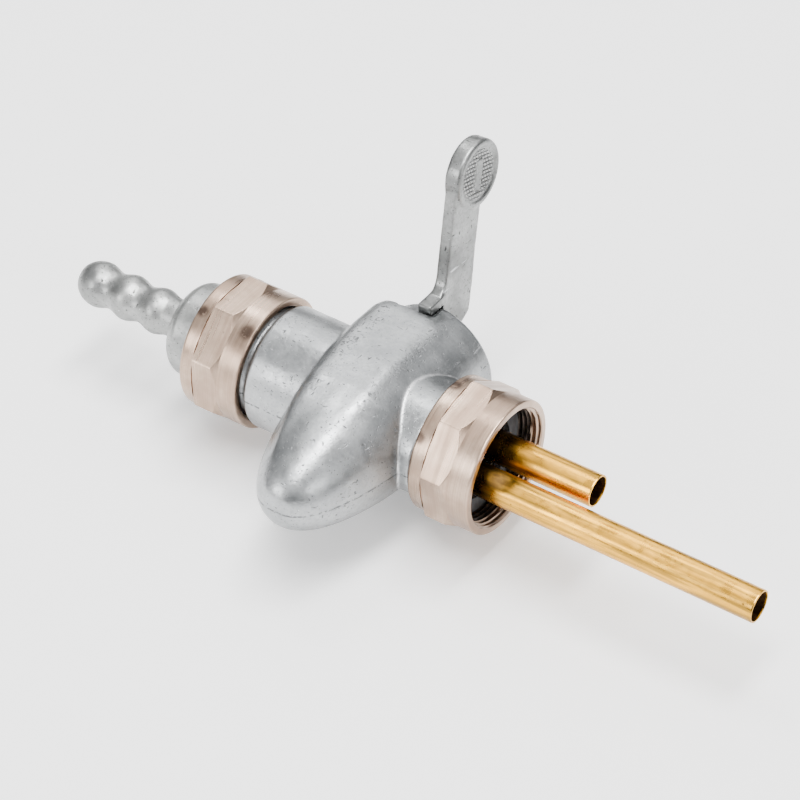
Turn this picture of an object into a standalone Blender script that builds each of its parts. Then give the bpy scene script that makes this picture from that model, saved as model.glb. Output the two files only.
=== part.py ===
"""Two-way petrol tap with reserve: bullet body, lever, two union nuts, hose barb and stand pipes.

World frame: the origin is the centre of the tank sealing face, +X runs along the pipes
into the tank, +Y along the lever spindle away from the nose, +Z up along the lever at rest.
Lengths below are millimetres until they reach a mesh, which is in metres.
"""
import math

import bmesh
import bpy
from mathutils import Vector

MM = 0.001
CLEAR = 0.3
MERGE = 0.00001

# Bullet body, turned about the spindle, with a flat-topped hump over it
RIM_Y = 19.8
RIM_R = 12.75
BODY_R = 13.1
NOSE_START_Y = -9.5
NOSE_TIP_Y = -34.5
NOSE_POWER = 1.28
NOSE_ROUND = 2.55
HUMP_TOP_Z = 13.7
HUMP_LEFT_DEG = 70.0
HUMP_RIGHT_DEG = -53.0
HUMP_RIGHT_D = 11.4
HUMP_NOSE_Y = -14.0
HUMP_NOSE_LEVEL = 0.985
HUMP_RISE_Y = -13.0
HUMP_FULL_Y = -1.0
HUMP_SHOULDER_Y = 12.5
HUMP_CREST = 14.0
HUMP_BLEND = 36.0
HUMP_SUNK = 0.8
HUMP_FADE_DEG = 45.0
HUMP_FLARE = 1.2
HUMP_FLARE_Y = -8.0
RIM_EDGE_R = 0.3

# Lever stop notch in the body's rim
NOTCH_Y = 15.6
NOTCH_FLOOR_R = 12.2
LEVER_TILT = -4.0
LEVER_SWING = 180.0

# Union thread, and the nut that fits it on both sides
UNION_THREAD_R = 11.4
NUT_BORE_R = UNION_THREAD_R + CLEAR
NUT_WALL = 2.0
NUT_R = NUT_BORE_R + NUT_WALL
NUT_L = 13.46
NUT_LEDGE = 1.4
NUT_HOLE_R = UNION_THREAD_R - NUT_LEDGE
NUT_COLLAR_T = 2.2
NUT_FLATS_STEP = 0.1
NUT_FLATS = 2 * (NUT_R - NUT_FLATS_STEP)
FLAT_COUNT = 8
FLATS_START = 3.15
FLATS_END = 7.75
FLATS_CHAMFER = 1.1
FLATS_LAP = 0.2
NUT_EDGE = 0.45
TANK_NUT_TURN = 32.5
OUTLET_NUT_TURN = 23.8
NECK_R = NUT_HOLE_R - CLEAR
OUTLET_NUT_GAP = 1.0
FLANGE_R = NUT_BORE_R - 0.4

# Outlet boss and its threaded end
BOSS_STEP = 1.25
BOSS_R = UNION_THREAD_R + BOSS_STEP
BOSS_REACH = 10.5
BOSS_THREAD_L = 8.5
BOSS_BORE_R = 5.0

# Inlet spigot and the ring that keeps its nut
SPIGOT_STEP = 0.8
SPIGOT_R = NUT_HOLE_R + SPIGOT_STEP
SPIGOT_REACH = 1.9
SPIGOT_FLARE = 1.6
SPIGOT_FLARE_L = 3.2
SPIGOT_WALL = 1.8
SPIGOT_RECESS_R = NUT_HOLE_R - SPIGOT_WALL
SPIGOT_RECESS_L = 5.0
RING_WIRE_R = 0.95

# Along the through axis, measured from the tank sealing face at x = 0
TANK_GASKET_T = 1.5
SPIGOT_END_X = -TANK_GASKET_T - CLEAR
SPINDLE_X = -24.0
SPIGOT_SHOULDER_X = SPINDLE_X + BODY_R + SPIGOT_REACH
BOSS_SHOULDER_X = SPINDLE_X - BODY_R - BOSS_REACH

# Hose barb
OUTLET_GASKET_T = 1.2
BARB_FLANGE_T = 1.7
DOME_START = 7.4
DOME_L = 4.5
BARB_NECK_R = 3.9
BARB_BULGE_R = 4.75
BULGE_PITCH = 7.35
BULGE_COUNT = 3
BULGE_STEPS = 6
FIRST_BULGE = 5.95
BARB_TIP_DEG = 50.0
BARB_TIP_L = 5.2
BARB_TIP_STEPS = 3
BARB_BORE_R = 2.4
DOME_CUT_DEG = 66.3
DOME_STEPS = 5

# Stand pipes
PIPE_R = 3.25
PIPE_WALL = 0.5
PIPE_SPACING = 7.5
PIPE_CENTRE_Y = -0.55
PIPE_SKEW_Z = 1.1
PIPE_SEAT_WEB = 2.1
MAIN_PIPE_L = 75.0
RESERVE_PIPE_L = 36.5

# Valve inside the body
CHAMBER_R = 8.0
CHAMBER_END_Y = -9.5
SLEEVE_WALL = 1.2
SLEEVE_END_Y = 8.0
ROTOR_FLANGE_T = 2.0
ROTOR_WALL = 2.0
ROTOR_CUP_END_Y = 6.0
PORT_R = 1.8
OUTLET_PORT_R = 1.1
SPINDLE_R = 0.5625 * CHAMBER_R
O_RING_R = (CHAMBER_R - SPINDLE_R) / 2 - CLEAR
THRUST_T = 1.2
SPRING_T = 0.45
SPRING_WAVE = 0.35
SPRING_WAVES = 3
SNAP_RING_T = 1.0
SNAP_GROOVE_DEPTH = 0.9
SNAP_RING_W = 2.2
SNAP_GAP_DEG = 40.0

# Lever
HUB_R = 10.4
HUB_T = 1.2
HUB_BOSS_R = 6.2
HUB_BOSS_T = 4.0
HUB_EDGE = 0.3
DRIVE_SQUARE = 1.2 * SPINDLE_R
DRIVE_L = 2.5
LEVER_WEB = 1.0
SCREW_R = 1.7
SCREW_HEAD_R = 3.2
SCREW_HEAD_T = 2.0
SCREW_SLOT_W = 0.9
SCREW_SLOT_D = 0.9
SCREW_REACH = 11.0
WASHER_R = 3.7
WASHER_T = 0.7
BLADE_T = 2.7
BLADE_W = 9.65
BLADE_LEAN = 15.0
BLADE_INNER_Y = 22.35
BLADE_KNEE_Z = 18.8
FINGER_W = 3.2
FINGER_T = 2.3
FINGER_ROOT = 1.6
FINGER_TIP_Y = NOTCH_Y + CLEAR
FINGER_BEND_R = 3.2
PAD_R = 7.15
PAD_Y = 33.85
PAD_Z = 35.1
PAD_FACE_X = 2.0
PAD_T = 3.6
PAD_RECESS_R = 5.85
PAD_RECESS_D = 0.55
PAD_BAR_W = 2.0
PAD_FLOOR_SHARE = 0.6
PAD_BAR_SHARE = 0.54
BLADE_EDGE = 0.45

NOSE_RINGS = 14
BARREL_RINGS = 11
BODY_SIDES = 60
ROUND_STEPS = 40
SMALL_STEPS = 20
WIRE_SIDES = 8
ARC_STEPS = 6


def clear_scene():
    """Remove every object that the file starts with."""
    for obj in list(bpy.data.objects):
        bpy.data.objects.remove(obj, do_unlink=True)


def new_collection(name, hidden=False):
    collection = bpy.data.collections.new(name)
    bpy.context.scene.collection.children.link(collection)
    collection.hide_render = hidden
    return collection


def material(name, colour, roughness, metallic):
    mat = bpy.data.materials.new(name)
    mat.use_nodes = True
    shader = mat.node_tree.nodes["Principled BSDF"]
    shader.inputs["Base Color"].default_value = (*colour, 1.0)
    shader.inputs["Roughness"].default_value = roughness
    shader.inputs["Metallic"].default_value = metallic
    return mat


clear_scene()
PARTS = new_collection("petrol_tap")
CUTTERS = new_collection("cutters", hidden=True)

ZINC = material("zinc_casting", (0.60, 0.62, 0.63), 0.45, 1.0)
NICKEL = material("satin_nickel", (0.74, 0.66, 0.60), 0.32, 1.0)
BRASS = material("brass_tube", (0.72, 0.52, 0.22), 0.34, 1.0)
STEEL = material("zinc_plated_steel", (0.66, 0.67, 0.68), 0.35, 1.0)
RUBBER = material("black_rubber", (0.02, 0.02, 0.02), 0.6, 0.0)
FIBRE = material("grey_fibre", (0.30, 0.30, 0.29), 0.8, 0.0)


def add_object(name, mesh, mat=None, parent=None):
    """Link a mesh as a finished part, or as a hidden working shape if it has no material."""
    obj = bpy.data.objects.new(name, mesh)
    if mat is None:
        CUTTERS.objects.link(obj)
        obj.hide_render = True
        obj.display_type = "WIRE"
    else:
        PARTS.objects.link(obj)
        mesh.materials.append(mat)
    obj.parent = parent
    return obj


def turned(name, profile, axis, at=(0, 0, 0), mat=None, parent=None, steps=ROUND_STEPS, closed=False):
    """Turn (axial, radius) points about an axis; the outer side runs from high to low."""
    mesh = bpy.data.meshes.new(name)
    points = [(radius * MM, 0.0, axial * MM) for axial, radius in profile]
    edges = [(i, i + 1) for i in range(len(points) - 1)]
    if closed:
        edges.append((len(points) - 1, 0))
    mesh.from_pydata(points, edges, [])
    obj = add_object(name, mesh, mat, parent)
    obj.location = Vector(at) * MM
    if axis == "X":
        obj.rotation_euler = (0.0, math.radians(90), 0.0)
    elif axis == "Y":
        obj.rotation_euler = (math.radians(-90), 0.0, 0.0)
    screw = obj.modifiers.new("turn", "SCREW")
    screw.steps = steps
    screw.render_steps = steps
    screw.use_merge_vertices = True
    screw.merge_threshold = MERGE
    screw.use_smooth_shade = True
    return obj


def extruded(name, outline, axis, low, high, at=(0, 0, 0), mat=None, parent=None):
    """Extrude a flat outline along X, from (y, z) points, or along Y, from (x, z) points."""
    mesh = bpy.data.meshes.new(name)
    bm = bmesh.new()
    if axis == "X":
        corners = [(low * MM, u * MM, v * MM) for u, v in outline]
        step = Vector(((high - low) * MM, 0, 0))
    else:
        corners = [(u * MM, low * MM, v * MM) for u, v in outline]
        step = Vector((0, (high - low) * MM, 0))
    face = bm.faces.new([bm.verts.new(corner) for corner in corners])
    grown = bmesh.ops.extrude_face_region(bm, geom=[face])
    moved = [item for item in grown["geom"] if isinstance(item, bmesh.types.BMVert)]
    bmesh.ops.translate(bm, verts=moved, vec=step)
    bmesh.ops.recalc_face_normals(bm, faces=bm.faces)
    bm.to_mesh(mesh)
    bm.free()
    obj = add_object(name, mesh, mat, parent)
    obj.location = Vector(at) * MM
    return obj


def boolean(obj, other, operation):
    mod = obj.modifiers.new(operation.lower(), "BOOLEAN")
    mod.operation = operation
    mod.solver = "EXACT"
    mod.object = other


def cut(obj, *others):
    for other in others:
        boolean(obj, other, "DIFFERENCE")


def join(obj, *others):
    for other in others:
        boolean(obj, other, "UNION")


def bevel(obj, width, segments=2, angle=35):
    mod = obj.modifiers.new("edges", "BEVEL")
    mod.width = width * MM
    mod.segments = segments
    mod.limit_method = "ANGLE"
    mod.angle_limit = math.radians(angle)


def shade(*objects, angle=32):
    """Shade round surfaces smooth and keep edges over the angle sharp."""
    for obj in objects:
        obj.data.shade_smooth()
        obj.data.set_sharp_from_angle(angle=math.radians(angle))


def arc(centre, radius, start, end, steps=ARC_STEPS):
    """Points of an arc, angles in degrees from the first axis toward the second."""
    turn = [math.radians(start + (end - start) * i / steps) for i in range(steps + 1)]
    return [(centre[0] + radius * math.cos(a), centre[1] + radius * math.sin(a)) for a in turn]


def ring(low, high, inner, outer):
    """Closed profile of a plain ring."""
    return [(high, outer), (low, outer), (low, inner), (high, inner)]


def wire_section(axial, radius, wire_r):
    """Closed round profile of a wire ring, from its high side outward and down."""
    turn = [math.pi / 2 - 2 * math.pi * i / WIRE_SIDES for i in range(WIRE_SIDES)]
    return [(axial + wire_r * math.sin(a), radius + wire_r * math.cos(a)) for a in turn]


def rod(low, high, radius):
    """Profile of a plain solid cylinder."""
    return [(high, 0.0), (high, radius), (low, radius), (low, 0.0)]


def smooth_step(value, low, high):
    t = min(max((value - low) / (high - low), 0.0), 1.0)
    return t * t * (3.0 - 2.0 * t)


def bullet_radius(y):
    """Radius of the turned bullet at a place along the spindle."""
    if y >= NOSE_START_Y:
        t = (y - NOSE_START_Y) / (RIM_Y - NOSE_START_Y)
        return BODY_R + (RIM_R - BODY_R) * t * t
    s = min((NOSE_START_Y - y) / (NOSE_START_Y - NOSE_TIP_Y), 1.0)
    return BODY_R * (1.0 - s ** NOSE_POWER) ** (1.0 / NOSE_ROUND)


def hump_level(y):
    """Height of the hump's flat top over the spindle, as a share of the bullet's radius."""
    full = HUMP_TOP_Z / BODY_R
    rise = (HUMP_NOSE_LEVEL - HUMP_SUNK) * smooth_step(y, NOSE_TIP_Y, HUMP_NOSE_Y)
    rise += (full - HUMP_NOSE_LEVEL) * smooth_step(y, HUMP_RISE_Y, HUMP_FULL_Y)
    shoulder = min(max((y - HUMP_SHOULDER_Y) / (RIM_Y - HUMP_SHOULDER_Y), 0.0), 1.0)
    return HUMP_SUNK + rise * math.sqrt(1.0 - shoulder * shoulder)


def body_radius(y, turn):
    """Distance of the casting's skin from the spindle; turn 0 is up, positive toward -X."""
    plain = bullet_radius(y)
    if plain <= 0.0:
        return 0.0
    level = plain * hump_level(y)
    right = plain * HUMP_RIGHT_D / BODY_R
    flare = smooth_step(y, HUMP_FLARE_Y, -HUMP_FLARE_Y) * (1.0 - smooth_step(y, HUMP_SHOULDER_Y, RIM_Y))
    left = level + HUMP_FLARE * flare
    left_turn = min(turn - math.radians(HUMP_LEFT_DEG), 0.0)
    right_turn = max(turn - math.radians(HUMP_RIGHT_DEG), 0.0)
    total = 0.0
    for away, distance in ((turn, level), (left_turn, left), (right_turn, right)):
        reach = max(math.cos(away), 0.0)
        total += (reach / distance) ** HUMP_CREST
    past = smooth_step(math.degrees(turn), HUMP_LEFT_DEG, HUMP_LEFT_DEG + HUMP_FADE_DEG)
    hump = total ** (-1.0 / HUMP_CREST) * (1.0 - (1.0 - HUMP_SUNK) * past)
    return (plain ** HUMP_BLEND + hump ** HUMP_BLEND) ** (1.0 / HUMP_BLEND)


def body_stations():
    """Places of the sections: close together at the nose and at the rim."""
    flat = RIM_Y - RIM_EDGE_R
    nose = [NOSE_TIP_Y + (NOSE_START_Y - NOSE_TIP_Y) * (i / NOSE_RINGS) ** 2
            for i in range(1, NOSE_RINGS + 1)]
    barrel = [NOSE_START_Y + (flat - NOSE_START_Y) * i / BARREL_RINGS
              for i in range(1, BARREL_RINGS + 1)]
    return nose + barrel


def body_skin():
    """Loft the bullet and its hump through closed sections along the spindle."""
    bm = bmesh.new()
    rings = []
    for y in body_stations():
        rings.append(body_ring(bm, y, 0.0))
    rings.append(body_ring(bm, RIM_Y, RIM_EDGE_R))
    for low, high in zip(rings, rings[1:]):
        for i in range(BODY_SIDES):
            j = (i + 1) % BODY_SIDES
            bm.faces.new((low[i], low[j], high[j], high[i]))
    bm.faces.new(rings[-1])
    tip = bm.verts.new((0.0, NOSE_TIP_Y * MM, 0.0))
    for i in range(BODY_SIDES):
        bm.faces.new((tip, rings[0][(i + 1) % BODY_SIDES], rings[0][i]))
    bmesh.ops.recalc_face_normals(bm, faces=bm.faces)
    mesh = bpy.data.meshes.new("valve_body")
    bm.to_mesh(mesh)
    bm.free()
    return mesh


def body_ring(bm, y, inset):
    verts = []
    for i in range(BODY_SIDES):
        turn = 2 * math.pi * i / BODY_SIDES
        turn = turn if turn <= math.pi else turn - 2 * math.pi
        r = body_radius(y, turn) - inset
        verts.append(bm.verts.new((-r * math.sin(turn) * MM, y * MM, r * math.cos(turn) * MM)))
    return verts


# Places that several pieces share
CHAMBER_Y = CHAMBER_END_Y
SLEEVE_R = CHAMBER_R - CLEAR
SLEEVE_IN_R = SLEEVE_R - SLEEVE_WALL
ROTOR_R = SLEEVE_IN_R - CLEAR
ROTOR_CUP_R = ROTOR_R - ROTOR_WALL
PIPE_SEAT_X = SPINDLE_X + CHAMBER_R + PIPE_SEAT_WEB
MAIN_PIPE_END_X = PIPE_SEAT_X + MAIN_PIPE_L
RESERVE_PIPE_END_X = PIPE_SEAT_X + RESERVE_PIPE_L
ROTOR_LOW_Y = CHAMBER_Y + 2 * CLEAR
FLANGE_LOW_Y = SLEEVE_END_Y + CLEAR
FLANGE_HIGH_Y = FLANGE_LOW_Y + ROTOR_FLANGE_T
O_RING_Y = FLANGE_HIGH_Y + CLEAR + O_RING_R
THRUST_LOW_Y = O_RING_Y + O_RING_R + CLEAR
SPRING_LOW_Y = THRUST_LOW_Y + THRUST_T + CLEAR
SPRING_HIGH_Y = SPRING_LOW_Y + SPRING_T + 2 * SPRING_WAVE
SNAP_LOW_Y = SPRING_HIGH_Y + CLEAR
SNAP_HIGH_Y = SNAP_LOW_Y + SNAP_RING_T
SNAP_R = CHAMBER_R + SNAP_GROOVE_DEPTH - CLEAR
HUB_LOW_Y = RIM_Y + CLEAR
HUB_HIGH_Y = HUB_LOW_Y + HUB_T
HUB_BACK_Y = HUB_HIGH_Y + HUB_BOSS_T
DRIVE_END_Y = HUB_LOW_Y + DRIVE_L
WEB_LOW_Y = DRIVE_END_Y + CLEAR
WEB_HIGH_Y = WEB_LOW_Y + LEVER_WEB
MAIN_Y = PIPE_CENTRE_Y - PIPE_SPACING / 2
RESERVE_Y = PIPE_CENTRE_Y + PIPE_SPACING / 2
SPIGOT_RECESS_X = SPIGOT_END_X - SPIGOT_RECESS_L
TANK_NUT_REAR_X = SPIGOT_SHOULDER_X + CLEAR
RING_CENTRE_R = NUT_HOLE_R + CLEAR
RING_X = TANK_NUT_REAR_X + NUT_COLLAR_T + CLEAR + RING_WIRE_R
BOSS_END_X = BOSS_SHOULDER_X - BOSS_THREAD_L
OUTLET_GASKET_X = BOSS_END_X - CLEAR - OUTLET_GASKET_T
BARB_FACE_X = OUTLET_GASKET_X - CLEAR
OUTLET_NUT_MOUTH_X = BOSS_SHOULDER_X - OUTLET_NUT_GAP
OUTLET_NUT_REAR_X = OUTLET_NUT_MOUTH_X - NUT_L


def build_body():
    body = add_object("valve_body", body_skin(), ZINC)
    body.location = (SPINDLE_X * MM, 0.0, 0.0)

    inside = SPINDLE_X - CHAMBER_R / 2
    boss = turned("boss_stock", [
        (inside, 0.0), (inside, BOSS_R), (BOSS_SHOULDER_X + NUT_EDGE, BOSS_R),
        (BOSS_SHOULDER_X, BOSS_R - NUT_EDGE), (BOSS_SHOULDER_X, UNION_THREAD_R - 0.6),
        (BOSS_SHOULDER_X - 1.2, UNION_THREAD_R - 0.6), (BOSS_SHOULDER_X - 1.8, UNION_THREAD_R),
        (BOSS_END_X + 0.6, UNION_THREAD_R), (BOSS_END_X, UNION_THREAD_R - 0.6), (BOSS_END_X, 0.0),
    ], "X", steps=48)

    groove_low = RING_X - RING_WIRE_R - CLEAR
    groove_high = RING_X + RING_WIRE_R + CLEAR
    groove_r = RING_CENTRE_R - RING_WIRE_R - CLEAR
    flare_x = SPIGOT_SHOULDER_X - NUT_COLLAR_T - SPIGOT_FLARE_L - SPIGOT_FLARE
    spigot = turned("spigot_stock", [
        (SPIGOT_RECESS_X, 0.0), (SPIGOT_RECESS_X, SPIGOT_RECESS_R), (SPIGOT_END_X, SPIGOT_RECESS_R),
        (SPIGOT_END_X, NECK_R - 0.4), (SPIGOT_END_X - 0.4, NECK_R),
        (groove_high, NECK_R), (groove_high, groove_r), (groove_low, groove_r),
        (groove_low, NECK_R), (SPIGOT_SHOULDER_X, NECK_R), (SPIGOT_SHOULDER_X, SPIGOT_R - 0.3),
        (SPIGOT_SHOULDER_X - 0.3, SPIGOT_R), (flare_x + SPIGOT_FLARE_L, SPIGOT_R),
        (flare_x + SPIGOT_FLARE_L * 0.44, SPIGOT_R + SPIGOT_FLARE * 0.25), (flare_x, SPIGOT_R + SPIGOT_FLARE),
        (SPINDLE_X + CHAMBER_R / 2, SPIGOT_R), (SPINDLE_X + CHAMBER_R / 2, 0.0),
    ], "X", steps=48)
    join(body, boss, spigot)

    chamber = turned("chamber_cut", [
        (RIM_Y + 1.0, 0.0), (RIM_Y + 1.0, CHAMBER_R + 0.4), (RIM_Y, CHAMBER_R + 0.4),
        (RIM_Y - 0.4, CHAMBER_R), (SNAP_HIGH_Y + CLEAR, CHAMBER_R),
        (SNAP_HIGH_Y + CLEAR, CHAMBER_R + SNAP_GROOVE_DEPTH),
        (SNAP_LOW_Y - CLEAR, CHAMBER_R + SNAP_GROOVE_DEPTH), (SNAP_LOW_Y - CLEAR, CHAMBER_R),
        (CHAMBER_Y, CHAMBER_R), (CHAMBER_Y, 0.0),
    ], "Y", at=(SPINDLE_X, 0, 0))
    outlet_x = SPINDLE_X - CHAMBER_R - 2.5
    outlet = turned("outlet_cut", [
        (outlet_x, 0.0), (outlet_x, BOSS_BORE_R), (BOSS_END_X - 1.0, BOSS_BORE_R),
        (BOSS_END_X - 1.0, 0.0),
    ], "X")
    passage = turned("outlet_passage_cut", rod(outlet_x - 0.5, SPINDLE_X, OUTLET_PORT_R + 0.1), "X",
                     at=(0, PIPE_CENTRE_Y, 0), steps=SMALL_STEPS)
    cut(body, chamber, outlet, passage)
    for name, y, skew in (("main", MAIN_Y, -PIPE_SKEW_Z), ("reserve", RESERVE_Y, PIPE_SKEW_Z)):
        socket = turned(name + "_socket_cut", rod(PIPE_SEAT_X - CLEAR, SPIGOT_RECESS_X + 1.0, PIPE_R + CLEAR),
                        "X", at=(0, y, skew), steps=SMALL_STEPS + 4)
        port = turned(name + "_port_cut", rod(SPINDLE_X, PIPE_SEAT_X, PORT_R + 0.1), "X",
                      at=(0, y, 0), steps=SMALL_STEPS)
        cut(body, socket, port)

    half = math.degrees((FINGER_W / 2 + CLEAR) / NOTCH_FLOOR_R)
    start = 90.0 - LEVER_TILT - half
    end = start + LEVER_SWING + 2 * half
    outer = NOTCH_FLOOR_R + 6.0
    sector = arc((0, 0), NOTCH_FLOOR_R, start, end, 36) + arc((0, 0), outer, end, start, 36)
    notch = extruded("lever_notch_cut", sector, "Y", NOTCH_Y, RIM_Y + 1.0, at=(SPINDLE_X, 0, 0))
    cut(body, notch)
    shade(body)


def build_valve():
    at = (SPINDLE_X, 0, 0)
    sleeve = turned("seal_sleeve", ring(CHAMBER_Y + CLEAR, SLEEVE_END_Y, SLEEVE_IN_R, SLEEVE_R),
                    "Y", at=at, mat=RUBBER, closed=True)
    for name, y in (("main", MAIN_Y), ("reserve", RESERVE_Y)):
        window = turned(name + "_window_cut", rod(SPINDLE_X, SPINDLE_X + 2 * CHAMBER_R, PORT_R), "X",
                        at=(0, y, 0), steps=SMALL_STEPS)
        cut(sleeve, window)
    window = turned("outlet_window_cut", rod(SPINDLE_X - 2 * CHAMBER_R, SPINDLE_X, OUTLET_PORT_R),
                    "X", at=(0, PIPE_CENTRE_Y, 0), steps=SMALL_STEPS)
    cut(sleeve, window)
    shade(sleeve)

    washer_in = SPINDLE_R + CLEAR
    thrust = turned("thrust_washer", ring(THRUST_LOW_Y, THRUST_LOW_Y + THRUST_T, washer_in, SLEEVE_R),
                    "Y", at=at, mat=STEEL, closed=True)
    shade(thrust)
    build_wave_spring(at)
    build_snap_ring(at)


def build_wave_spring(at):
    """A flat ring bent in waves, pressing the thrust washer on the seal."""
    bm = bmesh.new()
    inner = SPINDLE_R + 2 * CLEAR
    outer = SLEEVE_R - CLEAR
    loops = []
    for i in range(ROUND_STEPS):
        a = 2 * math.pi * i / ROUND_STEPS
        lift = SPRING_WAVE * (1 + math.sin(SPRING_WAVES * a))
        loop = []
        for radius, height in ((outer, SPRING_T), (outer, 0.0), (inner, 0.0), (inner, SPRING_T)):
            y = (SPRING_LOW_Y + lift + height) * MM
            loop.append(bm.verts.new((radius * math.cos(a) * MM, y, radius * math.sin(a) * MM)))
        loops.append(loop)
    for i in range(ROUND_STEPS):
        here = loops[i]
        there = loops[(i + 1) % ROUND_STEPS]
        for k in range(4):
            bm.faces.new((here[k], there[k], there[(k + 1) % 4], here[(k + 1) % 4]))
    bmesh.ops.recalc_face_normals(bm, faces=bm.faces)
    mesh = bpy.data.meshes.new("wave_spring")
    bm.to_mesh(mesh)
    bm.free()
    spring = add_object("wave_spring", mesh, STEEL)
    spring.location = Vector(at) * MM
    shade(spring)


def build_snap_ring(at):
    """An open ring that springs into the groove near the rim."""
    half = SNAP_GAP_DEG / 2
    inner = SNAP_R - SNAP_RING_W
    outline = arc((0, 0), SNAP_R, -90 + half, 270 - half, 40)
    outline += arc((0, 0), inner, 270 - half, -90 + half, 40)
    snap = extruded("snap_ring", outline, "Y", SNAP_LOW_Y, SNAP_HIGH_Y, at=at, mat=STEEL)
    shade(snap)


def build_rotor(axis):
    profile = [
        (DRIVE_END_Y, 0.0), (DRIVE_END_Y, DRIVE_SQUARE / 2), (HUB_LOW_Y, DRIVE_SQUARE / 2),
        (HUB_LOW_Y - 2 * CLEAR, SPINDLE_R), (FLANGE_HIGH_Y, SPINDLE_R), (FLANGE_HIGH_Y, SLEEVE_R),
        (FLANGE_LOW_Y, SLEEVE_R), (FLANGE_LOW_Y, ROTOR_R), (ROTOR_LOW_Y, ROTOR_R),
        (ROTOR_LOW_Y, ROTOR_CUP_R), (ROTOR_CUP_END_Y, ROTOR_CUP_R), (ROTOR_CUP_END_Y, 0.0),
    ]
    rotor = turned("valve_rotor", profile, "Y", mat=BRASS, parent=axis)
    side = DRIVE_SQUARE / 2
    square = [(-side, -side), (side, -side), (side, side), (-side, side)]
    drive = extruded("drive_square_stock", square, "Y", HUB_LOW_Y - CLEAR, DRIVE_END_Y, parent=axis)
    join(rotor, drive)
    screw_hole = turned("screw_hole_cut", rod(DRIVE_END_Y - SCREW_REACH + WEB_HIGH_Y - WEB_LOW_Y,
                                              DRIVE_END_Y + 1.0, SCREW_R + CLEAR), "Y",
                        parent=axis, steps=SMALL_STEPS)
    cut(rotor, screw_hole)
    reach = ROTOR_R + 1.0
    main_port = turned("rotor_main_cut", rod(-reach, 0.0, PORT_R), "Z", at=(0, MAIN_Y, 0),
                       parent=axis, steps=SMALL_STEPS)
    reserve_port = turned("rotor_reserve_cut", rod(-reach, 0.0, PORT_R), "X", at=(0, RESERVE_Y, 0),
                          parent=axis, steps=SMALL_STEPS)
    up_port = turned("rotor_outlet_up_cut", rod(0.0, reach, OUTLET_PORT_R), "Z",
                     at=(0, PIPE_CENTRE_Y, 0), parent=axis, steps=SMALL_STEPS)
    side_port = turned("rotor_outlet_side_cut", rod(0.0, reach, OUTLET_PORT_R), "X",
                       at=(0, PIPE_CENTRE_Y, 0), parent=axis, steps=SMALL_STEPS)
    cut(rotor, main_port, reserve_port, up_port, side_port)
    shade(rotor)

    o_ring = turned("spindle_o_ring", wire_section(O_RING_Y, SPINDLE_R + CLEAR + O_RING_R, O_RING_R),
                    "Y", mat=RUBBER, parent=axis, closed=True)
    shade(o_ring, angle=60)


def blade_outline():
    """The lever's side view: straight leaning arm over a stop finger that hooks over the rim."""
    lean = math.radians(BLADE_LEAN)
    slope = math.tan(lean)
    width = BLADE_W / math.cos(lean)
    finger_low = NOTCH_FLOOR_R + CLEAR
    finger_high = finger_low + FINGER_T
    inner_z = PAD_Z - 0.5
    outer_z = PAD_Z - PAD_R + 1.6
    turn_y = BLADE_INNER_Y - FINGER_BEND_R * 1.05
    bend = arc((turn_y, finger_high + FINGER_BEND_R), FINGER_BEND_R, -78, -BLADE_LEAN)
    root_y = HUB_LOW_Y + CLEAR
    foot_y = BLADE_INNER_Y + width
    outline = [(root_y, 0.0), (root_y, finger_high - 0.6), (bend[0][0], finger_high - 0.6)]
    outline += bend
    outline += [(BLADE_INNER_Y + (inner_z - BLADE_KNEE_Z) * slope, inner_z), (PAD_Y, PAD_Z),
                (foot_y + (outer_z - BLADE_KNEE_Z) * slope, outer_z), (foot_y, BLADE_KNEE_Z), (foot_y - 1.35, BLADE_KNEE_Z - 6.6),
                (foot_y - 3.1, BLADE_KNEE_Z - 13.0), (HUB_BACK_Y + CLEAR, HUB_BOSS_R - 2.2),
                (HUB_BACK_Y - 1.0, 0.0)]
    return outline


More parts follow.
